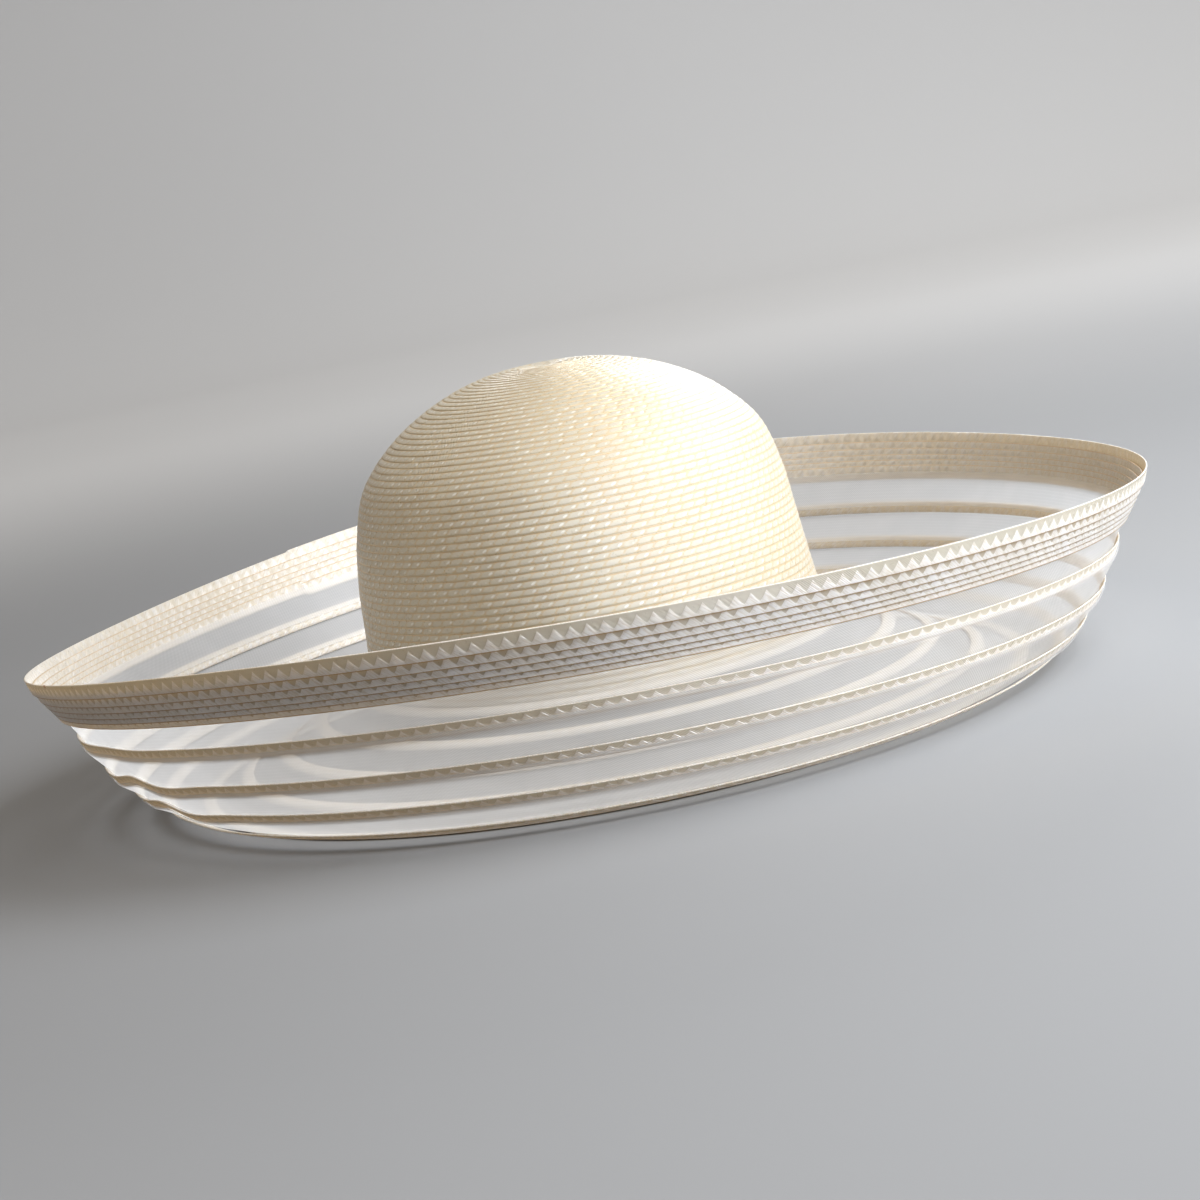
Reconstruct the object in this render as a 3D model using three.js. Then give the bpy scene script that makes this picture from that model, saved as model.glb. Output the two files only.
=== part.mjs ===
// Wide-brim hat with an upturned brim, in millimetres, +Z up, front towards -Y.
// It stands on its lowest brim row: the origin is on the floor under the middle of the brim.
// The crown is sewn straw braid. The brim alternates flat braid rows with sheer crin bands,
// drops away from the crown, curls up and ends in a band of six lapped braid rows.
import * as THREE from 'three';

// Driving sizes
const GAP = 0.3;            // clearance between neighbouring pieces
const SEGMENTS = 40;        // facets round each ring
const CROWN_WALL = 1.8;
const ROW_WIDTH = 5;        // flat braid row of the brim
const ROW_THICK = 1.6;
const CRIN_THICK = 1;
const CRIN_LAP = 1.6;       // how far a crin edge lies on the braid row beside it
const RIM_HEIGHT = 68.5;    // mean height of the rim's upper edge above the floor
const RIM_RADIUS = 220;     // mean radius of that edge
const TURN = Math.PI / 180;

// Crown, from its foot to its top: outer height, mean radius, how much longer the half length
// is than the mean radius (oval), and how far the middle stands to the side (shift).
const CROWN_FOOT = { height: 27, radius: 95.6, oval: 8, shift: 0 };
const CROWN_ROWS = [
  CROWN_FOOT,
  { height: 48, radius: 93.6, oval: 8, shift: -0.5 },
  { height: 68.5, radius: 91.8, oval: 8, shift: -1 },
  { height: 87, radius: 89.2, oval: 8, shift: -0.5 },
  { height: 104, radius: 83.9, oval: 8, shift: 0 },
  { height: 118.6, radius: 71.2, oval: 8, shift: 0.4 },
  { height: 129.8, radius: 53.5, oval: 7.5, shift: 0.8 },
  { height: 136.6, radius: 33.5, oval: 6, shift: 1 },
  { height: 138.9, radius: 17, oval: 3, shift: 1.1 },
];
const CROWN_TOP = { height: 139.3, shift: 1.1 };

// Flat braid rows of the brim, from the crown outwards: mean radius and height of the middle
// of the row, tilt of its section (degrees, rising outwards), how far the front lies below the
// mean (dip), how far the brim rises front and back and drops at the sides (saddle), and the
// face that the crin from the crown side is sewn on (1 inside the bowl, -1 outside).
const FOOT_TILT = -24;
const FOOT_ROW_RADIUS = CROWN_FOOT.radius + GAP + ROW_WIDTH / 2 * Math.cos(FOOT_TILT * TURN)
  + ROW_THICK / 2 * Math.sin(-FOOT_TILT * TURN);
const BRIM_ROWS = [
  { name: 'foot_row', radius: FOOT_ROW_RADIUS, height: 27.4, tilt: FOOT_TILT, dip: 0, saddle: 0, face: 1 },
  { name: 'braid_row_h', radius: 117, height: 20.2, tilt: -24, dip: 0, saddle: 0, face: -1 },
  { name: 'braid_row_g', radius: 132.5, height: 13.4, tilt: -24, dip: 0, saddle: 0, face: -1 },
  { name: 'braid_row_f', radius: 148, height: 6.6, tilt: -20, dip: 0, saddle: 0, face: -1 },
  { name: 'base_row', radius: 163.5, height: ROW_THICK / 2, tilt: 0, dip: 0, saddle: 0, face: 1 },
  { name: 'braid_row_d', radius: 178, height: 6, tilt: 24, dip: 2.4, saddle: 0.5, face: 1 },
  { name: 'braid_row_c', radius: 188.2, height: 14.3, tilt: 46, dip: 2.2, saddle: 2.4, face: -1 },
  { name: 'braid_row_b', radius: 197, height: 25.3, tilt: 57, dip: 0.5, saddle: 3.6, face: -1 },
  { name: 'braid_row_a', radius: 204.6, height: 39.4, tilt: 66, dip: -0.8, saddle: 4.1, face: -1 },
];
const SADDLE_TOWARDS = -25 * TURN;   // direction in which the saddle is highest, from the front
const RIPPLE = 1.6;                  // height of three soft waves round the rim
const RIPPLE_TOWARDS = 48 * TURN;

// Rim band: its lower and upper edge, and the exposed width of each lapped braid row in it,
// from the bottom row to the top row. Each row steps out over the one below.
const RIM_LOWER = { radius: 209.3, height: 50.9, dip: -0.7, saddle: 4.9 };
const RIM_UPPER = { radius: RIM_RADIUS, height: RIM_HEIGHT, dip: 0, saddle: 6.5 };
const RIM_EXPOSED = [2.4, 2.3, 2.2, 3.2, 4, 6.8];
const RIM_STEP = 0.5;
const RIM_THICK = 2;
const RIM_TILT = Math.atan2(RIM_UPPER.height - RIM_LOWER.height, RIM_UPPER.radius - RIM_LOWER.radius) / TURN;

// The brim is oval like the crown, less so towards the rim.
const RIM_OVAL = 5.2;
function brimOval(radius) {
  const out = (radius - CROWN_FOOT.radius) / (RIM_RADIUS - CROWN_FOOT.radius);
  return THREE.MathUtils.lerp(CROWN_FOOT.oval, RIM_OVAL, out);
}

// Point at a turn round the hat, counted from the front towards the wearer's left side (+X).
function ovalPoint(turn, radius, oval, height, shift = 0) {
  const side = (radius - oval) * Math.sin(turn) + shift;
  const front = -(radius + oval) * Math.cos(turn);
  return new THREE.Vector3(side, front, height);
}

// Height that the soft brim gains or loses at a turn: dip, saddle and three waves.
function brimLift(ring, turn) {
  const wave = RIPPLE * ring.saddle / RIM_UPPER.saddle;
  return ring.saddle * Math.cos(2 * (turn - SADDLE_TOWARDS))
    - ring.dip * Math.cos(turn)
    + wave * Math.cos(3 * (turn - RIPPLE_TOWARDS));
}

// Corner of a brim section, in the upright plane through the axis: along and off are measured
// from the middle of the ring along its tilt and square to it, off positive into the bowl.
function corner(ring, along, off) {
  const tilt = ring.tilt * TURN;
  const radius = ring.radius + along * Math.cos(tilt) - off * Math.sin(tilt);
  const height = ring.height + along * Math.sin(tilt) + off * Math.cos(tilt);
  return { ring, radius, height };
}

// Faces between two rings of points that start at the given vertex numbers.
function joinRings(faces, first, second) {
  for (let i = 0; i < SEGMENTS; i++) {
    const next = (i + 1) % SEGMENTS;
    faces.push(first + i, first + next, second + next);
    faces.push(first + i, second + next, second + i);
  }
}

function solid(points, faces) {
  const geometry = new THREE.BufferGeometry();
  geometry.setAttribute('position', new THREE.Float32BufferAttribute(points.flatMap((p) => p.toArray()), 3));
  geometry.setIndex(faces);
  geometry.computeVertexNormals();
  return geometry;
}

// Closed ring with the given section, whose corners run clockwise seen with the axis at left.
function brimRing(section) {
  const points = [];
  const faces = [];
  for (const { ring, radius, height } of section) {
    for (let i = 0; i < SEGMENTS; i++) {
      const turn = i / SEGMENTS * 2 * Math.PI;
      points.push(ovalPoint(turn, radius, brimOval(radius), height + brimLift(ring, turn)));
    }
  }
  section.forEach((_, i) => {
    joinRings(faces, (i + 1) % section.length * SEGMENTS, i * SEGMENTS);
  });
  return solid(points, faces);
}

// Flat braid row
function braidRow(ring) {
  const end = ROW_WIDTH / 2;
  const face = ROW_THICK / 2;
  return brimRing([
    corner(ring, -end, -face),
    corner(ring, -end, face),
    corner(ring, end, face),
    corner(ring, end, -face),
  ]);
}

// Sheer crin band that starts on a braid row, inside the bowl, and ends at the given corners
function crinBand(inner, ending) {
  const end = ROW_WIDTH / 2;
  const near = ROW_THICK / 2 + GAP;
  const far = near + CRIN_THICK;
  return brimRing([
    corner(inner, end - CRIN_LAP, near),
    corner(inner, end - CRIN_LAP, far),
    corner(inner, end, far),
    ...ending,
    corner(inner, end, near),
  ]);
}

// Outer edge of a crin band that is sewn on a face of the next braid row
function edgeOnRow(row) {
  const end = ROW_WIDTH / 2;
  const middle = row.face * (ROW_THICK / 2 + GAP + CRIN_THICK / 2);
  const upper = middle + CRIN_THICK / 2;
  const lower = middle - CRIN_THICK / 2;
  return [
    corner(row, -end, upper),
    corner(row, -end + CRIN_LAP, upper),
    corner(row, -end + CRIN_LAP, lower),
    corner(row, -end, lower),
  ];
}

// Outer edge of the last crin band, caught in the rim band's lower edge
function edgeAtRim() {
  const rim = { ...RIM_LOWER, tilt: RIM_TILT };
  return [
    corner(rim, -GAP, CRIN_THICK / 2),
    corner(rim, -GAP, -CRIN_THICK / 2),
  ];
}

// Rim band of lapped braid rows, stepped outside, plain inside, with a rounded upper edge
function rimBand() {
  const spanRadius = RIM_UPPER.radius - RIM_LOWER.radius;
  const spanHeight = RIM_UPPER.height - RIM_LOWER.height;
  const length = Math.hypot(spanRadius, spanHeight);
  const alongRadius = spanRadius / length;
  const alongHeight = spanHeight / length;
  const exposed = RIM_EXPOSED.reduce((sum, width) => sum + width, 0);
  const section = [];
  function add(along, off) {
    const part = along / length;
    const ring = {
      dip: THREE.MathUtils.lerp(RIM_LOWER.dip, RIM_UPPER.dip, part),
      saddle: THREE.MathUtils.lerp(RIM_LOWER.saddle, RIM_UPPER.saddle, part),
    };
    const radius = RIM_LOWER.radius + along * alongRadius - off * alongHeight;
    const height = RIM_LOWER.height + along * alongHeight + off * alongRadius;
    section.push({ ring, radius, height });
  }
  add(0, RIM_THICK / 2);
  add(length - RIM_THICK / 2, RIM_THICK / 2);
  add(length, 0);
  let along = length;
  [...RIM_EXPOSED].reverse().forEach((width, row) => {
    const top = row === 0 ? length - RIM_THICK / 2 : along;
    along -= width * length / exposed;
    add(top, -RIM_THICK / 2);
    add(along, -RIM_THICK / 2 - RIM_STEP);
  });
  return brimRing(section);
}

// Crown: an oval dome of one wall, open below
function crown() {
  const outer = CROWN_ROWS;
  const inner = outer.map((row, i) => {
    const below = outer[Math.max(i - 1, 0)];
    const above = outer[i + 1] ?? { radius: 0, height: CROWN_TOP.height };
    const slope = Math.atan2(above.height - below.height, above.radius - below.radius);
    return {
      ...row,
      radius: row.radius - CROWN_WALL * Math.sin(slope),
      height: i === 0 ? row.height : row.height + CROWN_WALL * Math.cos(slope),
    };
  });
  const loops = [...inner.toReversed(), ...outer];
  const points = loops.flatMap((row) => Array.from({ length: SEGMENTS }, (_, i) => (
    ovalPoint(i / SEGMENTS * 2 * Math.PI, row.radius, row.oval, row.height, row.shift)
  )));
  const innerTop = points.push(new THREE.Vector3(CROWN_TOP.shift, 0, CROWN_TOP.height - CROWN_WALL)) - 1;
  const outerTop = points.push(new THREE.Vector3(CROWN_TOP.shift, 0, CROWN_TOP.height)) - 1;
  const faces = [];
  for (let loop = 0; loop < loops.length - 1; loop++) {
    joinRings(faces, loop * SEGMENTS, (loop + 1) * SEGMENTS);
  }
  const last = (loops.length - 1) * SEGMENTS;
  for (let i = 0; i < SEGMENTS; i++) {
    const next = (i + 1) % SEGMENTS;
    faces.push(innerTop, next, i);
    faces.push(last + i, last + next, outerTop);
  }
  return solid(points, faces);
}

// Materials
const crownStraw = new THREE.MeshStandardMaterial({ color: 0xf0e3c8, roughness: 0.45, metalness: 0 });
const brimStraw = new THREE.MeshStandardMaterial({ color: 0xe6d8ba, roughness: 0.45, metalness: 0 });
const crin = new THREE.MeshStandardMaterial({
  color: 0xf2f0ec,
  roughness: 0.5,
  metalness: 0,
  transparent: true,
  opacity: 0.5,
});

const hat = new THREE.Group();

function place(name, geometry, material) {
  const mesh = new THREE.Mesh(geometry, material);
  mesh.name = name;
  hat.add(mesh);
}

place('crown', crown(), crownStraw);
for (const ring of BRIM_ROWS) {
  place(ring.name, braidRow(ring), brimStraw);
}
place('rim_band', rimBand(), brimStraw);

// Crin bands, numbered from the crown outwards: one after each braid row
BRIM_ROWS.forEach((row, i) => {
  const next = BRIM_ROWS[i + 1];
  const ending = next ? edgeOnRow(next) : edgeAtRim();
  place(`crin_band_${i + 1}`, crinBand(row, ending), crin);
});

export default hat;
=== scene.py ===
import math

import bpy
import numpy as np
from mathutils import Matrix, Vector


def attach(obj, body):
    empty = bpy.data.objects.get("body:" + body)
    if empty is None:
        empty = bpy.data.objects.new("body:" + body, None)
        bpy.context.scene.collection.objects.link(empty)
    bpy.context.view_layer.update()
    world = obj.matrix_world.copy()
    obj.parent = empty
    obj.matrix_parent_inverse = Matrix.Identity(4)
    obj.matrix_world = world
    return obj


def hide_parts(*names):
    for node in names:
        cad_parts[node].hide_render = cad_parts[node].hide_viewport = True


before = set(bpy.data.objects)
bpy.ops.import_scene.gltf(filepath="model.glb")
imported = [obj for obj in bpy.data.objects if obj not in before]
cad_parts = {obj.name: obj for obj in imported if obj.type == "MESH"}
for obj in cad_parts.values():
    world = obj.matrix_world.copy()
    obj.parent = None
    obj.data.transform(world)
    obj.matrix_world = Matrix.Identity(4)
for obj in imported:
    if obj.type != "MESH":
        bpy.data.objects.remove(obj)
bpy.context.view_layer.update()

# Studio. The hat rests on a pale round sweep whose edge rises out of sight, so that no horizon
# shows. A large soft light and a low one stand at the right in front, with a wide fill over them.
# A weak warm light stands high at the left, a narrow one behind, and a warm sky fills the rest.
MM = 0.001
FULL_TURN = 2 * math.pi
VIEW_TURN = math.radians(-15)
VIEW_RISE = math.radians(8.15)
VIEW_ROLL = math.radians(11.22)
VIEW_RANGE = 1151.2 * MM
VIEW_SIDE = -8.45 * MM
VIEW_DROP = 21.07 * MM
RIM_HEIGHT = 68.5
FOCAL_PER_FRAME = 3000 / 1200

back = Vector((
    math.sin(VIEW_TURN) * math.cos(VIEW_RISE),
    -math.cos(VIEW_TURN) * math.cos(VIEW_RISE),
    math.sin(VIEW_RISE),
))
level = Vector((math.cos(VIEW_TURN), math.sin(VIEW_TURN), 0))
upright = back.cross(level)
right = level * math.cos(VIEW_ROLL) - upright * math.sin(VIEW_ROLL)
up = level * math.sin(VIEW_ROLL) + upright * math.cos(VIEW_ROLL)

lens = bpy.data.cameras.new("camera")
lens.sensor_width = 36
lens.lens = lens.sensor_width * FOCAL_PER_FRAME
camera = bpy.data.objects.new("camera", lens)
bpy.context.scene.collection.objects.link(camera)
stand_point = Vector((0, 0, RIM_HEIGHT * MM)) - right * VIEW_SIDE - up * VIEW_DROP + back * VIEW_RANGE
camera.matrix_world = Matrix((
    (right.x, up.x, back.x, stand_point.x),
    (right.y, up.y, back.y, stand_point.y),
    (right.z, up.z, back.z, stand_point.z),
    (0, 0, 0, 1),
))
bpy.context.scene.camera = camera
bpy.context.scene.view_settings.view_transform = "Standard"


class Signal:
    """An output socket in a material. Sums and products of signals add Math nodes."""

    def __init__(self, tree, socket=None):
        self.tree = tree
        self.socket = socket

    def node(self, kind, settings=None, values=None, output=0):
        """Adds a node, sets its settings, then fills its sockets with values or links."""
        made = self.tree.nodes.new(kind)
        for key, setting in (settings or {}).items():
            setattr(made, key, setting)
        for key, value in (values or {}).items():
            if isinstance(value, Signal):
                self.tree.links.new(value.socket, made.inputs[key])
            else:
                made.inputs[key].default_value = value
        return Signal(self.tree, made.outputs[output]) if made.outputs else None

    def parts(self):
        """The first and the second number of a vector."""
        first = self.node("ShaderNodeSeparateXYZ", {}, {"Vector": self})
        return first, Signal(self.tree, first.socket.node.outputs[1])

    def math(self, operation, *others):
        return self.node("ShaderNodeMath", {"operation": operation}, dict(enumerate((self, *others))))

    def between(self, low, high):
        """0 below low, 1 above high, eased between the two."""
        return self.node(
            "ShaderNodeMapRange",
            {"interpolation_type": "SMOOTHSTEP"},
            {"Value": self, "From Min": low, "From Max": high},
        )

    def blend(self, first, second):
        """Colour that goes from first to second as the signal goes from 0 to 1."""
        return self.node("ShaderNodeMix", {"data_type": "RGBA"}, {0: self, 6: first, 7: second}, 2)

    def __add__(self, other):
        return self.math("ADD", other)

    def __radd__(self, other):
        return self.math("ADD", other)

    def __sub__(self, other):
        return self.math("SUBTRACT", other)

    def __rsub__(self, other):
        return self.node("ShaderNodeMath", {"operation": "SUBTRACT"}, {0: other, 1: self})

    def __mul__(self, other):
        return self.math("MULTIPLY", other)

    def __rmul__(self, other):
        return self.math("MULTIPLY", other)

    def __truediv__(self, other):
        return self.math("DIVIDE", other)

    def __mod__(self, other):
        return self.math("FLOORED_MODULO", other)


def finish_named(name):
    """An empty material and the signal that starts its nodes."""
    material = bpy.data.materials.new(name)
    material.use_nodes = True
    material.node_tree.nodes.clear()
    return material, Signal(material.node_tree)


SWEEP_FLAT = 3.2
SWEEP_BEND = 1.6
SWEEP_TOP = 2.2
sweep_profile = [(0.0, 0.0), (0.6, 0.0), (1.5, 0.0), (SWEEP_FLAT, 0.0)]
sweep_profile += [
    (SWEEP_FLAT + SWEEP_BEND * math.sin(a), SWEEP_BEND * (1 - math.cos(a)))
    for a in np.radians(np.arange(6, 91, 6))
]
sweep_profile.append((SWEEP_FLAT + SWEEP_BEND, SWEEP_TOP))
SWEEP_SIDES = 96
sweep_points = [(0, 0, 0)] + [
    (r * math.cos(FULL_TURN * i / SWEEP_SIDES), r * math.sin(FULL_TURN * i / SWEEP_SIDES), z)
    for r, z in sweep_profile[1:]
    for i in range(SWEEP_SIDES)
]
sweep_faces = [(0, 1 + i, 1 + (i + 1) % SWEEP_SIDES) for i in range(SWEEP_SIDES)]
for ring in range(len(sweep_profile) - 2):
    inner, outer = 1 + ring * SWEEP_SIDES, 1 + (ring + 1) * SWEEP_SIDES
    for i in range(SWEEP_SIDES):
        j = (i + 1) % SWEEP_SIDES
        sweep_faces.append((inner + i, outer + i, outer + j, inner + j))
sweep_mesh = bpy.data.meshes.new("studio_sweep")
sweep_mesh.from_pydata(sweep_points, [], sweep_faces)
sweep_mesh.shade_smooth()
sweep = bpy.data.objects.new("studio_sweep", sweep_mesh)
bpy.context.scene.collection.objects.link(sweep)
paper, nodes = finish_named("studio_paper")
east, north = nodes.node("ShaderNodeTexCoord", {}, {}, 3).parts()
# Distance from the hat's middle, with a little added so that it is never zero
REACH_ADDED = 0.3
reach = (east * east + north * north).math("SQRT") + REACH_ADDED
towards_right = (east * level.x + north * level.y) / reach
# Painted light and shade on the paper: it is painted darker towards the left and near the hat, where the
# lights fall strongest, and lighter at middle reach, where less light reaches it
far = towards_right.between(-0.30, 0.30).blend((0.46, 0.46, 0.465, 1), (0.78, 0.794, 0.815, 1))
middle = towards_right.between(-0.30, 0.30).blend((0.60, 0.60, 0.605, 1), (0.85, 0.86, 0.875, 1))
near = towards_right.between(-0.50, 0.50).blend((0.20, 0.201, 0.205, 1), (0.32, 0.326, 0.335, 1))
shade = reach.between(0.9, 2.5).blend(near, middle)
shade = reach.between(3.1, 4.6).blend(shade, far)
# Painted shade: the paper under and behind the two strong lights is painted darker, so that it isn't
# glaring
LIGHTS_TURN = math.radians(53)
towards_lights = (east * math.sin(LIGHTS_TURN) - north * math.cos(LIGHTS_TURN)) / reach
shade = (towards_lights.between(0.1, 0.7) * reach.between(1.0, 1.7)).blend(shade, (0.26, 0.263, 0.27, 1))
grey = nodes.node("ShaderNodeBsdfPrincipled", {}, {"Base Color": shade, "Roughness": 0.9})
nodes.node("ShaderNodeOutputMaterial", {}, {"Surface": grey})
sweep_mesh.materials.append(paper)

sky = bpy.data.worlds.new("studio_sky")
sky.use_nodes = True
sky.node_tree.nodes["Background"].inputs["Color"].default_value = (1.0, 0.87, 0.69, 1)
sky.node_tree.nodes["Background"].inputs["Strength"].default_value = 0.19
bpy.context.scene.world = sky


LIGHT_RANGE = 1.9


def add_light(name, kind, energy, turn, rise):
    """A light that looks at the hat from a turn, counted from the front towards +X, and a rise."""
    light = bpy.data.lights.new(name, kind)
    light.energy = energy
    stand = bpy.data.objects.new(name, light)
    turn, rise = math.radians(turn), math.radians(rise)
    towards = Vector((math.sin(turn) * math.cos(rise), -math.cos(turn) * math.cos(rise), math.sin(rise)))
    stand.location = towards * LIGHT_RANGE
    stand.rotation_euler = towards.to_track_quat("Z", "Y").to_euler()
    bpy.context.scene.collection.objects.link(stand)
    stand.visible_camera = False
    return light


key = add_light("key_light", "AREA", 43, 56, 40)
key.size = 1.5
low = add_light("low_light", "AREA", 32, 50, 10)
low.size = 0.7
key.color = low.color = (0.92, 0.975, 1.05)
fill = add_light("fill_light", "SUN", 1.65, 40, 50)
fill.angle = math.radians(50)
side = add_light("side_light", "AREA", 6.2, -65, 63)
side.size = 1.2
side.color = (1.0, 0.81, 0.57)
behind = add_light("back_light", "SPOT", 30, 150, 18)
behind.spot_size = math.radians(36)
behind.spot_blend = 1.0
behind.shadow_soft_size = 0.3

# Crown: one long flat straw braid, sewn in a spiral from the tip down to the foot. Each turn's lower
# edge laps over the next turn, so a thin seam shows under every row. The braid's strands cross in
# slanted lozenges. It is glossy ivory straw, more golden in its gaps and seams, with painted shadow
# under each row's lip, a painted highlight along the lip and painted glints at the lozenges' right ends.
# Rows of the dome from the foot to the tip: height, mean radius, oval, shift to the side
CROWN_ROWS = np.array([
    (27.0, 95.6, 8.0, 0.0),
    (48.0, 93.6, 8.0, -0.5),
    (68.5, 91.8, 8.0, -1.0),
    (87.0, 89.2, 8.0, -0.5),
    (104.0, 83.9, 8.0, 0.0),
    (118.6, 71.2, 8.0, 0.4),
    (129.8, 53.5, 7.5, 0.8),
    (136.6, 33.5, 6.0, 1.0),
    (138.9, 17.0, 3.0, 1.1),
    (139.3, 0.0, 0.0, 1.1),
])
DIMPLE_DEPTH = 1.3
DIMPLE_RADIUS = 9.0
CROWN_PITCH = 2.7
CROWN_LAP = 1.2
# Length of one lozenge, and how far it leans for each millimetre down the dome
CELL_LENGTH = 5.4
CELL_SLANT = 0.9
# One lozenge, as shares of its length: the gap's bottom, its two sides and the raised middle
CELL_STATIONS = np.array([0.0, 0.09, 0.30, 0.55, 0.78, 0.93])


def oval_point(turn, radius, oval, height, shift=0.0):
    """Points at a turn round the hat, counted from the front towards +X, in metres."""
    side = (radius - oval) * np.sin(turn) + shift
    front = -(radius + oval) * np.cos(turn)
    return np.stack(np.broadcast_arrays(side, front, height), axis=-1) * MM


def eased(knots, table, at):
    """Smooth curve through the rows of a table, one row for each knot."""
    slopes = np.gradient(table, knots, axis=0)
    i = np.clip(np.searchsorted(knots, at) - 1, 0, len(knots) - 2)
    span = knots[i + 1] - knots[i]
    t = ((at - knots[i]) / span)[:, None]
    span = span[:, None]
    return (
        (2 * t**3 - 3 * t**2 + 1) * table[i]
        + (t**3 - 2 * t**2 + t) * span * slopes[i]
        + (3 * t**2 - 2 * t**3) * table[i + 1]
        + (t**3 - t**2) * span * slopes[i + 1]
    )


def link_mesh(name, points, faces, corner_spots, material):
    """An object of four-sided faces, with a UV map of millimetres along and across a braid."""
    mesh = bpy.data.meshes.new(name)
    mesh.vertices.add(len(points))
    mesh.vertices.foreach_set("co", points.astype(np.float32).ravel())
    mesh.loops.add(faces.size)
    mesh.loops.foreach_set("vertex_index", faces.astype(np.int32).ravel())
    mesh.polygons.add(len(faces))
    mesh.polygons.foreach_set("loop_start", np.arange(0, faces.size, 4, dtype=np.int32))
    mesh.polygons.foreach_set("use_smooth", np.ones(len(faces), dtype=bool))
    sewn = mesh.uv_layers.new(name="sewn")
    sewn.data.foreach_set("uv", corner_spots.astype(np.float32).ravel())
    mesh.update(calc_edges=True)
    mesh.validate()
    mesh.materials.append(material)
    piece = bpy.data.objects.new(name, mesh)
    bpy.context.scene.collection.objects.link(piece)
    return piece


def grid_faces(points, spots, closed_along, closed_across):
    """Faces and UV spots between rows of points. Where the grid is closed, spots goes one row or
    column further."""
    along, across = points.shape[:2]
    i = np.arange(along if closed_along else along - 1)[:, None]
    j = np.arange(across if closed_across else across - 1)[None, :]
    i, j = np.broadcast_arrays(i, j)
    i1, j1 = i + 1, j + 1
    faces = np.stack([
        i * across + j,
        i1 % along * across + j,
        i1 % along * across + j1 % across,
        i * across + j1 % across,
    ], axis=-1).reshape(-1, 4)
    corner_spots = np.stack([spots[i, j], spots[i1, j], spots[i1, j1], spots[i, j1]], axis=-2)
    return points.reshape(-1, 3), faces, corner_spots.reshape(-1, 4, 2)


def stations_along(cells, cell_length):
    """Where the points of each lozenge stand along a braid, and their share of its length."""
    share = np.tile(CELL_STATIONS, cells)
    number = np.repeat(np.arange(cells), len(CELL_STATIONS))
    return (number + share) * cell_length, share, number


def notch(share):
    """1 in the gap between two lozenges, 0 on them."""
    return (share == 0).astype(float)


# Width of one strand of the braid, in millimetres
STRAND_WIDTH = 0.87
# A small reddish stain on the rim's top edge at the left, and the radii where it starts to fade
# and is gone
MARK_PLACE = Vector((-211.7, -38.3, 67.7)) * MM
MARK_FADE = (0.7 * MM, 1.8 * MM)


class Straw:
    """Finish of a straw braid. Its UV map holds millimetres along and across the braid, up the
    outer face and, from the width on, down the inner one."""

    def __init__(self, name, pitch, slant, width):
        self.material, start = finish_named(name)
        self.start = start
        self.along, around = start.node("ShaderNodeUVMap", {"uv_map": "sewn"}).parts()
        self.inner = around.between(width - 0.05, width + 0.05)
        self.across = width - (around - width).math("ABSOLUTE")
        self.share = ((self.along + self.across * slant) / pitch) % 1.0
        place = start.node("ShaderNodeTexCoord", {}, {}, 3)
        # Sparse noise that scatters the painted glints
        sparse = start.node("ShaderNodeTexNoise", {}, {"Vector": place, "Scale": 260.0, "Detail": 1.0})
        self.glint_scatter = sparse.between(0.42, 0.62)
        from_mark = start.node(
            "ShaderNodeVectorMath", {"operation": "DISTANCE"}, {0: place, 1: MARK_PLACE}, 1
        )
        self.mark = 1 - from_mark.between(*MARK_FADE)

    def finish(self, colour, warm, dull, stains_and_painted_light, lean, sheer):
        """dull shows between single threads; the masks with their colours are the braid's own pattern
        and stain, and painted shade and highlights; lean is how far the threads slant, and sheer is the
        share of light that shines through."""
        start = self.start
        thread = self.along + self.across * lean
        strand = (thread * (FULL_TURN / STRAND_WIDTH)).math("SINE") * 0.5 + 0.5
        drawn = start.node("ShaderNodeCombineXYZ", {}, {0: thread * 1.25, 1: self.across * 0.35})
        streak = start.node("ShaderNodeTexNoise", {}, {"Vector": drawn, "Scale": 1.0, "Detail": 2.0})
        place = start.node("ShaderNodeTexCoord", {}, {}, 3)
        cloud = start.node("ShaderNodeTexNoise", {}, {"Vector": place, "Scale": 38.0, "Detail": 3.0})
        speck = start.node("ShaderNodeTexNoise", {}, {"Vector": place, "Scale": 900.0, "Detail": 2.0})
        straw = cloud.between(0.35, 0.70).blend((*colour, 1), (*warm, 1))
        straw = (speck.between(0.35, 0.65) * 0.2).blend(straw, (*warm, 1))
        straw = ((1 - strand).math("POWER", 2.0) * 0.3).blend(straw, (*warm, 1))
        straw = ((1 - streak.between(0.38, 0.54)) * 0.8).blend(straw, (*dull, 1))
        # Masks of the braid's own pattern and stain, and of painted shade and painted highlights
        for mask, overlay_colour in stains_and_painted_light:
            straw = mask.blend(straw, (*overlay_colour, 1))
        bump = start.node("ShaderNodeBump", {}, {
            "Strength": 0.8, "Distance": 0.0004, "Height": strand * 0.5 + streak * 1.6,
        })
        skin = start.node("ShaderNodeBsdfPrincipled", {}, {
            "Base Color": straw,
            "Roughness": 0.22 + speck * 0.16,
            "Specular IOR Level": 0.8,
            "Normal": bump,
        })
        if sheer:
            glow = start.node("ShaderNodeBsdfTranslucent", {}, {"Color": (0.90, 0.69, 0.36, 1)})
            skin = start.node("ShaderNodeMixShader", {}, {0: sheer, 1: skin, 2: glow})
        start.node("ShaderNodeOutputMaterial", {}, {"Surface": skin})
        return self.material


# The braid's section, from its hidden upper edge over the outer face to the lower lip and back:
# millimetres down the dome, millimetres outwards, depth of the gaps, and how far it bulges.
CROWN_SECTION = np.array([
    (-CROWN_LAP, -0.70, 0.00, 0.00),
    (-0.02, -0.05, 0.02, 0.00),
    (0.30, 0.00, 0.05, 0.02),
    (1.20, 0.05, 0.07, 0.11),
    (2.15, 0.08, 0.04, 0.08),
    (2.62, 0.04, 0.00, 0.02),
    (2.66, -0.07, 0.00, 0.00),
])

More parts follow.
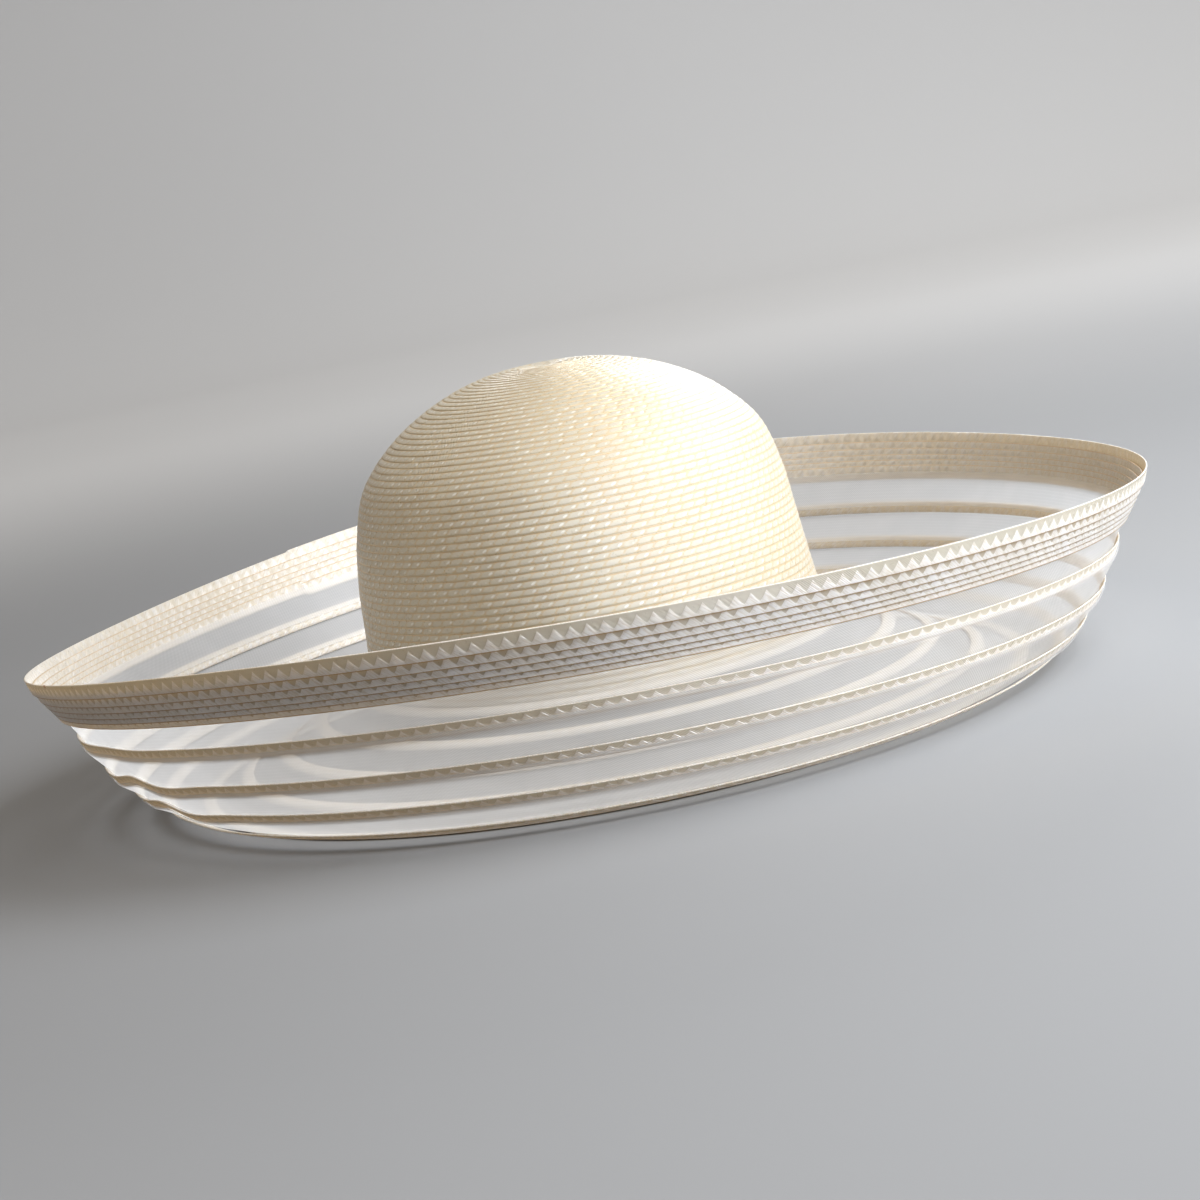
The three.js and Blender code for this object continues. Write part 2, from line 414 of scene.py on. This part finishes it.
rows = CROWN_ROWS[::-1].copy()
rows[0, 1] = 0.0
mirrored = rows[1:2] * (1, -1, 1, 1)
around_tip = np.concatenate([mirrored, rows])
steps = np.hypot(np.diff(around_tip[:, 0]), np.diff(around_tip[:, 1]))
knots = np.concatenate([[0], np.cumsum(steps)]) - steps[0]
DOME_STEPS = 1200
down = np.linspace(0, knots[-1], DOME_STEPS)
dome = eased(knots, around_tip, down)
dome[:, 0] -= DIMPLE_DEPTH * np.exp(-(dome[:, 1] / DIMPLE_RADIUS) ** 2)
dome_length = np.concatenate([[0], np.cumsum(np.hypot(np.diff(dome[:, 0]), np.diff(dome[:, 1])))])
slope = np.unwrap(np.arctan2(np.gradient(dome[:, 0]), np.gradient(dome[:, 1])))
# How far the last turn may hang below the crown's foot, inside the first brim row
CROWN_HEM = 2


def on_dome(turn, below, outwards):
    """Points of the spiral: below is measured down the dome, outwards square to it."""
    place = np.clip(CROWN_PITCH * turn / FULL_TURN + below, 0, dome_length[-1] + CROWN_HEM)
    height, radius, oval, shift, tilt = (
        np.interp(place, dome_length, column) for column in (*dome.T, slope)
    )
    over = np.maximum(place - dome_length[-1], 0)
    radius = radius - outwards * np.sin(tilt)
    height = height + outwards * np.cos(tilt) - over
    return oval_point(turn, radius, oval, height, shift)


# The spiral starts a little before it leaves the middle, so that its first turn closes the tip
CROWN_START = -0.42
ROUTE_STEPS = 60000
turns_end = (dome_length[-1] - CROWN_PITCH) / CROWN_PITCH
turn_table = np.linspace(CROWN_START, turns_end, ROUTE_STEPS) * FULL_TURN
route = on_dome(turn_table, CROWN_PITCH / 2, 0.0) / MM
route_length = np.concatenate([[0], np.cumsum(np.linalg.norm(np.diff(route, axis=0), axis=1))])
crown_cells = int(route_length[-1] / CELL_LENGTH)
lengths, share, number = stations_along(crown_cells, CELL_LENGTH)

# The crown's UV map has no inner face, so this width is past all of it
PAST_BRAID = 9
# Middle of the bright patch, along the lozenge and down the braid, and where the painted glint lies
PATCH_SHARE = 0.56
PATCH_DOWN = 1.15
GLINT_SHARE = 0.82
crown = Straw("ivory_crown_straw", CELL_LENGTH, CELL_SLANT, PAST_BRAID)
from_middle = (crown.share - PATCH_SHARE).math("ABSOLUTE") * 2.1
level_off = (crown.across - PATCH_DOWN).math("ABSOLUTE") / PATCH_DOWN
patch = 1 - (from_middle.math("POWER", 2.4) + level_off.math("POWER", 2.6)).between(0.50, 1.05)
# Painted highlight: a small white glint at the right end of each lozenge, where it would catch the
# light, scattered by noise
end_off = (crown.share - GLINT_SHARE) * CELL_LENGTH
painted_glint = 1 - (end_off * end_off * 0.8 + level_off * level_off * 2.2).between(0.15, 0.75)
# Painted shade: the top of each row, tucked under the lip above, is painted darker golden-brown, partly
# the seam's own golden colour and partly painted shadow under that lip
tuck_shadow = 1 - crown.across.between(0.08, 0.40)
# Painted highlight: a light orange line on each row's lower lip, where the lip catches the light
painted_lip = crown.across.between(2.36, 2.48)
crown_straw = crown.finish((0.62, 0.505, 0.325), (0.59, 0.46, 0.27), (0.60, 0.53, 0.40), [
    (patch * 0.8, (0.615, 0.57, 0.475)),
    (painted_glint * crown.glint_scatter * 0.6, (0.92, 0.91, 0.88)),
    (tuck_shadow * 0.7, (0.70, 0.49, 0.24)),
    (painted_lip * 0.8, (0.80, 0.67, 0.46)),
], -0.9, 0)
below, outwards, depth, bulge = CROWN_SECTION.T
along = lengths[:, None] - CELL_SLANT * below[None, :]
turn = np.interp(along, route_length, turn_table)
belly = np.sin(math.pi * share**1.5)[:, None]
UNEVENNESS = 0.035
rng = np.random.default_rng(7)
unevenness = rng.normal(0, UNEVENNESS, crown_cells)[number][:, None]
raised = outwards - depth * notch(share)[:, None] + bulge * belly + unevenness * (bulge > 0)
crown_points = on_dome(turn, below[None, :], raised)
spots = np.stack([along, np.broadcast_to(below, along.shape)], axis=-1)
spots = np.concatenate([spots, spots[:, :1]], axis=1)
CROWN_PIECES = ("crown_tip_braid", "crown_middle_braid", "crown_side_braid")
splits = [
    crown_cells * i // len(CROWN_PIECES) * len(CELL_STATIONS) for i in range(len(CROWN_PIECES) + 1)
]
for name, first, last in zip(CROWN_PIECES, splits, splits[1:]):
    points, faces, corner_spots = grid_faces(
        crown_points[first:last + 1], spots[first:last + 1], False, True
    )
    piece = link_mesh(name, points, faces, corner_spots, crown_straw)
    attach(piece, "root")
    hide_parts("crown")

# Brim braid rows: nine flat straw braids in rings, sewn to the crin on both sides. The first is
# sewn round the crown's foot, the fifth carries the hat, and the last four climb the wall.
FOOT_RADIUS = 95.6
RIM_RADIUS = 220.0
RIM_OVAL = 5.2
CROWN_OVAL = 8.0
# The rim is highest towards two opposite sides, with three soft waves round it
RIM_SADDLE = 6.5
SADDLE_TOWARDS = math.radians(-25)
RIPPLE = 1.6
RIPPLE_TOWARDS = math.radians(48)
# A small ruck in the wall at the left
RUCK_TOWARDS = math.radians(-79)
RUCK_SPREAD = math.radians(3.3)
# name, mean radius, height, tilt in degrees, dip of the front, saddle, ruck at the left, face that
# the crin from the crown side lies on (1 inside the bowl, -1 outside)
BRIM_ROWS = [
    ("foot_row", 98.5, 27.4, -24, 0.0, 0.0, 0.0, 1),
    ("braid_row_h", 117.0, 20.2, -24, 0.0, 0.0, 0.0, -1),
    ("braid_row_g", 132.5, 13.4, -24, 0.0, 0.0, 0.0, -1),
    ("braid_row_f", 148.0, 6.6, -20, 0.0, 0.0, 0.0, -1),
    ("base_row", 163.5, 0.8, 0, 0.0, 0.0, 0.0, 1),
    ("braid_row_d", 178.0, 6.0, 24, 2.4, 0.5, 0.3, 1),
    ("braid_row_c", 188.2, 14.3, 46, 2.2, 2.4, 2.4, -1),
    ("braid_row_b", 197.0, 25.3, 57, 0.5, 3.6, 2.6, -1),
    ("braid_row_a", 204.6, 39.4, 66, -0.8, 4.1, 0.5, -1),
]
# Length of one cell of the braid, and how far it leans for each millimetre up
BRAID_CELL = 5.2
BRAID_SLANT = 0.25
# A flat braid's lower part is made of fans of strands, one to a cell, over a smooth strip. Its
# width, where the fans end in the valleys between them and how far they climb, as shares of the
# width, and how steep their peaks are
ROW_BRAID = (5.0, 0.40, 0.46, 2.2)
HALF_ROW = ROW_BRAID[0] / 2
RIM_BRAID = (5.9, 0.20, 0.56, 1.3)
FAN_PEAK = 0.30
# Where the points of a cell stand, as shares of its length
BRAID_STATIONS = np.array([0.0, 0.15, 0.30, 0.55, 0.80])
# Section of a flat braid, up its outer face and down its inner one: share of its width up from
# the lower edge or from the fans' line, millimetres outwards, whether the point follows that
# line, and how far it bulges
BRAID_SECTION = np.array([
    (0.00, 0.00, 0.0, 0.00),
    (0.02, 0.32, 0.0, 0.00),
    (0.10, 0.39, 0.0, 0.02),
    (-0.09, 0.38, 1.0, 0.02),
    (-0.02, 0.36, 1.0, 0.02),
    (0.01, 0.26, 1.0, 0.00),
    (0.06, 0.25, 1.0, 0.00),
    (0.92, 0.26, 0.0, 0.00),
    (0.97, 0.30, 0.0, 0.00),
    (1.00, 0.00, 0.0, 0.00),
    (0.96, -0.30, 0.0, 0.00),
    (0.03, -0.31, 1.0, 0.00),
    (-0.02, -0.35, 1.0, 0.00),
    (0.05, -0.36, 0.0, 0.00),
])


def brim_oval(radius):
    """How much longer a half length is than the mean radius, at that radius of the brim."""
    out = (radius - FOOT_RADIUS) / (RIM_RADIUS - FOOT_RADIUS)
    return CROWN_OVAL + (RIM_OVAL - CROWN_OVAL) * out


def ruck_shape(turn, middle):
    """1 at the middle, falling to 0 on both sides."""
    return np.exp((np.cos(turn - middle) - 1) / RUCK_SPREAD**2)


def brim_lift(turn, dip, saddle, ruck):
    """Height that the soft brim gains or loses at a turn: dip, saddle, three waves and the ruck,
    which is a hump with a shallow hollow beside it."""
    hump = 0.8 * ruck_shape(turn, RUCK_TOWARDS)
    hollow = 0.35 * ruck_shape(turn, RUCK_TOWARDS + 2.8 * RUCK_SPREAD)
    return (
        saddle * np.cos(2 * (turn - SADDLE_TOWARDS))
        - dip * np.cos(turn)
        + RIPPLE * saddle / RIM_SADDLE * np.cos(3 * (turn - RIPPLE_TOWARDS))
        + ruck * (hump - hollow)
    )


def brim_corner(row, upwards, inwards):
    """Radius, height, dip, saddle and ruck of a point of a row's section: upwards is measured
    along its tilt from its middle, inwards square to it."""
    name, radius, height, tilt, dip, saddle, ruck, face = row
    tilt = math.radians(tilt)
    radius = radius + upwards * math.cos(tilt) - inwards * math.sin(tilt)
    height = height + upwards * math.sin(tilt) + inwards * math.cos(tilt)
    return radius, height, dip, saddle, ruck


def on_brim(turn, row, upwards, inwards):
    """Points of a row's ring, for its turns."""
    radius, height, dip, saddle, ruck = brim_corner(row, upwards, inwards)
    return oval_point(turn, radius, brim_oval(radius), height + brim_lift(turn, dip, saddle, ruck))


RING_STEPS = 720


def ring_table(place):
    """Turns from one round before the front to two after it, the length from the front to each
    of them, and the ring's whole length."""
    turns = np.linspace(-FULL_TURN, 2 * FULL_TURN, 3 * RING_STEPS + 1)
    points = place(turns) / MM
    lengths = np.concatenate([[0], np.cumsum(np.linalg.norm(np.diff(points, axis=0), axis=1))])
    return turns, lengths - lengths[RING_STEPS], lengths[2 * RING_STEPS] - lengths[RING_STEPS]


def braid_ring(place, braid, begin):
    """Points, faces and UV spots of a closed braid ring. place gives points from turn, up, out."""
    width, valley, climb, power = braid
    share_up, outwards, follows, bulge = BRAID_SECTION.T
    turns, table, total = ring_table(lambda t: place(t, 0, 0))
    cells = round(total / BRAID_CELL)
    share = np.tile(BRAID_STATIONS, cells)[:, None]
    cell = np.repeat(np.arange(cells), len(BRAID_STATIONS))[:, None]
    ramp = np.where(share < FAN_PEAK, share / FAN_PEAK, (1 - share) / (1 - FAN_PEAK))
    upwards = width * (share_up + follows * (valley + climb * ramp**power))
    along = (cell + share) * total / cells + BRAID_SLANT * upwards + begin
    turn = np.interp(along, table, turns)
    points = place(turn, upwards, outwards + bulge * np.sin(math.pi * share))
    inner = np.arange(len(share_up)) > np.argmax(share_up)
    around = np.where(inner, 2 * width - upwards, upwards)
    spots = np.stack([(cell + share) * BRAID_CELL + BRAID_SLANT * upwards, around], axis=-1)
    spots = np.concatenate([spots, spots[:1] + (cells * BRAID_CELL, 0)], axis=0)
    spots = np.concatenate([spots, spots[:, :1] + (0, 2 * width)], axis=1)
    return grid_faces(points, spots, True, True)


def braid_straw(name, braid, strip_shade_colour, lapped=0.0):
    """Straw whose fans end at a painted highlight line along their edge strand, with a smooth strip
    above them painted darker as shade. lapped is how much of the painted shadow shows at the upper edge
    inside; the painted shadow at the lower edge outside is always there."""
    width, valley, climb, power = braid
    straw = Straw(name, BRAID_CELL, -BRAID_SLANT, width)
    ramp = (straw.share / FAN_PEAK).math("MINIMUM", (1 - straw.share) / (1 - FAN_PEAK))
    top = (ramp.math("POWER", power) * climb + valley + 0.015) * width
    over = straw.across - top
    # Painted shade: the smooth strip above the fans is painted darker, as the shade of the recess
    # between the fans, up to just below the top edge
    strip_shade = over.between(-0.05, 0.12) * (1 - straw.across.between(width - 0.25, width - 0.10))
    # Painted highlight: a bright line along the fans' edge, where the edge strand catches the light
    strand = 1 - over.math("ABSOLUTE").between(0.08, 0.20)
    # Painted shadow: a brown line on each braid's lower lip outside, as the shadow in the seam under the
    # lap
    painted_lip = (1 - straw.across.between(0.40, 0.54)) * (1 - straw.inner)
    # Painted shadow: golden-brown along the inner top edge, where the braid lies tucked under the one
    # above
    brink = straw.across.between(width - 0.55, width - 0.35) * straw.inner
    bead_end = (straw.share - 0.5).math("ABSOLUTE").between(0.14, 0.36) * straw.inner
    return straw.finish((0.97, 0.965, 0.955), (0.94, 0.91, 0.85), (0.79, 0.73, 0.62), [
        (bead_end * 0.4, (0.80, 0.71, 0.54)),
        (strip_shade * (1 - straw.inner * 0.8), strip_shade_colour),
        (strand * 0.6, (0.95, 0.93, 0.88)),
        (painted_lip, (0.50, 0.30, 0.12)),
        (brink * lapped, (0.72, 0.52, 0.28)),
        (straw.mark, (0.42, 0.20, 0.12)),
    ], 1.1, 0.28)


# The third colour is the painted shade of the strip above the fans
row_straw = braid_straw("ivory_brim_straw", ROW_BRAID, (0.68, 0.64, 0.53))
for row in BRIM_ROWS:
    ring = braid_ring(lambda t, up, out: on_brim(t, row, up - HALF_ROW, -out), ROW_BRAID, 0.0)
    piece = link_mesh(row[0] + "_braid", *ring, row_straw)
    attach(piece, "root")
    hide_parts(row[0])

# Rim band: six lapped straw braids that end the brim. Each braid's lower edge lies outside the
# one below, and the top one has a smooth rolled edge. Its strands fan up in teeth.
# Mean radius, height, dip and saddle of the band's lower and upper edge
RIM_LOWER = (209.3, 50.9, -0.7, 4.9)
RIM_UPPER = (RIM_RADIUS, RIM_HEIGHT, 0.0, RIM_SADDLE)
# Height of each braid that shows outside, from the top, how far a braid leans in for each
# millimetre up, and how far outside the wall's middle its lower edge lies
RIM_EXPOSED = [5.9, 4.0, 3.1, 2.8, 2.4, 2.4]
RIM_LEAN = 0.24
RIM_OUTER = 1.2
# How far each braid's cells stand off those of the braid above
BRAID_STAGGER = 1.7
# The braid ends at the left of the back: before that the top one rises, and the lowest sinks
JOIN_TOWARDS = math.radians(-159)
JOIN_STEPS = {0: 0.6, 5: -1.4}
JOIN_TAPER = math.radians(32)
rim_span = math.hypot(RIM_UPPER[0] - RIM_LOWER[0], RIM_UPPER[1] - RIM_LOWER[1])
rim_tilt = math.atan2(RIM_UPPER[1] - RIM_LOWER[1], RIM_UPPER[0] - RIM_LOWER[0])


def on_rim(turn, upwards, inwards):
    """Points of the rim band: upwards from its lower edge, inwards square to its wall."""
    part = upwards / rim_span
    radius = RIM_LOWER[0] + upwards * math.cos(rim_tilt) - inwards * math.sin(rim_tilt)
    height = RIM_LOWER[1] + upwards * math.sin(rim_tilt) + inwards * math.cos(rim_tilt)
    dip = RIM_LOWER[2] + (RIM_UPPER[2] - RIM_LOWER[2]) * part
    saddle = RIM_LOWER[3] + (RIM_UPPER[3] - RIM_LOWER[3]) * part
    return oval_point(turn, radius, brim_oval(radius), height + brim_lift(turn, dip, saddle, 0))


rim_scale = rim_span / sum(RIM_EXPOSED)
# The third colours are the painted shade of the strip above the fans
rim_straw = braid_straw("ivory_rim_straw", RIM_BRAID, (0.62, 0.60, 0.51))
lapped_straw = braid_straw("ivory_lapped_straw", RIM_BRAID, (0.60, 0.53, 0.40), 0.8)
lapped_rings = []
lower_edge = rim_span
for number, exposed in enumerate(RIM_EXPOSED):
    lower_edge -= exposed * rim_scale
    # Each braid leans in from its lower edge, so that it steps out over the one below
    step = JOIN_STEPS.get(number, 0)
    ring = braid_ring(
        lambda t, up, out: on_rim(
            t,
            lower_edge + up * rim_scale
            + step * np.maximum(1 - (JOIN_TOWARDS - t) % FULL_TURN / JOIN_TAPER, 0),
            RIM_LEAN * up - RIM_OUTER - out,
        ),
        RIM_BRAID, number * BRAID_STAGGER,
    )
    if number == 0:
        top_piece = link_mesh("rim_top_braid", *ring, rim_straw)
    else:
        points, faces, corner_spots = ring
        lapped_rings.append((points, faces + sum(len(r[0]) for r in lapped_rings), corner_spots))
lapped_piece = link_mesh("rim_lapped_braids", *map(np.concatenate, zip(*lapped_rings)), lapped_straw)
for piece in (top_piece, lapped_piece):
    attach(piece, "root")
    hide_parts("rim_band")

# Crin bands: sheer woven mesh of stiff white thread, one between each pair of braids. Its inner
# edge lies inside the bowl on one braid and its outer edge on a face of the next.
# How far the mesh lies off a braid's middle, how much of a braid it covers, the length of its
# faces round the ring, and their number from braid to braid
CRIN_REST = 0.95
CRIN_LAP = 2.3
CRIN_STEP = 3.0
CRIN_BETWEEN = 9
# Spacing of the mesh's slanted and straight lines, in millimetres, and the lean of the first
TWILL_PITCH = 1.05
WARP_PITCH = 1.45
TWILL_LEAN = 1.1


def crin_finish():
    """Finish of the mesh. Its UV map holds millimetres along and across a band."""
    material, start = finish_named("sheer_white_crin")
    along, across = start.node("ShaderNodeUVMap", {"uv_map": "sewn"}).parts()
    twill = ((along + across * TWILL_LEAN) * (FULL_TURN / TWILL_PITCH)).math("SINE") * 0.5 + 0.5
    warp = ((across * (FULL_TURN / WARP_PITCH)).math("SINE") * 0.5 + 0.5).math("POWER", 3.0)
    place = start.node("ShaderNodeTexCoord", {}, {}, 3)
    cloud = start.node("ShaderNodeTexNoise", {}, {"Vector": place, "Scale": 30.0, "Detail": 2.0})
    cover = 0.42 + twill * 0.11 + warp * 0.01 + cloud.between(0.3, 0.7) * 0.08
    bump = start.node("ShaderNodeBump", {}, {
        "Strength": 0.2, "Distance": 0.0001, "Height": twill + warp,
    })
    tint = warp.blend((0.89, 0.885, 0.88, 1), (0.93, 0.923, 0.915, 1))
    threads = start.node("ShaderNodeBsdfPrincipled", {}, {
        "Base Color": tint, "Roughness": 0.42, "Normal": bump,
    })
    through = start.node("ShaderNodeBsdfTranslucent", {}, {"Color": (0.90, 0.894, 0.888, 1)})
    cloth = start.node("ShaderNodeMixShader", {}, {0: 0.55, 1: threads, 2: through})
    holes = start.node("ShaderNodeBsdfTransparent")
    sheer = start.node("ShaderNodeMixShader", {}, {0: cover, 1: holes, 2: cloth})
    start.node("ShaderNodeOutputMaterial", {}, {"Surface": sheer})
    return material


def crin_section(row, ahead):
    """Points across a crin band, from the braid it starts on to the one it ends on."""
    # Where the band's points stand on a braid, from the band's own edge to past the braid's edge
    stands = (HALF_ROW - CRIN_LAP, 1.3, 2.6)
    start = np.array([brim_corner(row, up, CRIN_REST) for up in stands])
    if ahead:
        side = ahead[7] * CRIN_REST
        end = np.array([brim_corner(ahead, -up, side) for up in stands[::-1]])
    else:
        across_rim = np.array([-math.sin(rim_tilt), math.cos(rim_tilt), 0, 0, 0])
        along_rim = np.array([math.cos(rim_tilt), math.sin(rim_tilt), 0, 0, 0])
        end = np.array([*RIM_LOWER, 0]) + np.array([
            -0.2 * along_rim - 0.2 * across_rim,
            1.4 * along_rim - 0.1 * across_rim,
            3.0 * along_rim,
        ])
    share = np.linspace(0, 1, CRIN_BETWEEN + 1)[1:-1, None]
    middle = start[-1] * (1 - share) + end[0] * share
    return np.concatenate([start, middle, end])


sheer_crin = crin_finish()
for number, row in enumerate(BRIM_ROWS):
    ahead = BRIM_ROWS[number + 1] if number + 1 < len(BRIM_ROWS) else None
    radius, height, dip, saddle, ruck = crin_section(row, ahead).T
    width = np.concatenate([[0], np.cumsum(np.hypot(np.diff(radius), np.diff(height)))])
    length = FULL_TURN * radius.mean()
    turn = np.linspace(0, FULL_TURN, int(length / CRIN_STEP), endpoint=False)[:, None]
    points = oval_point(turn, radius, brim_oval(radius), height + brim_lift(turn, dip, saddle, ruck))
    along = turn / FULL_TURN * length
    spots = np.stack(np.broadcast_arrays(along, width[None, :]), axis=-1)
    spots = np.concatenate([spots, spots[:1] + (length, 0)])
    points, faces, corner_spots = grid_faces(points, spots, True, False)
    piece = link_mesh(f"crin_band_{number + 1}_mesh", points, faces, corner_spots, sheer_crin)
    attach(piece, "root")
    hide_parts(f"crin_band_{number + 1}")
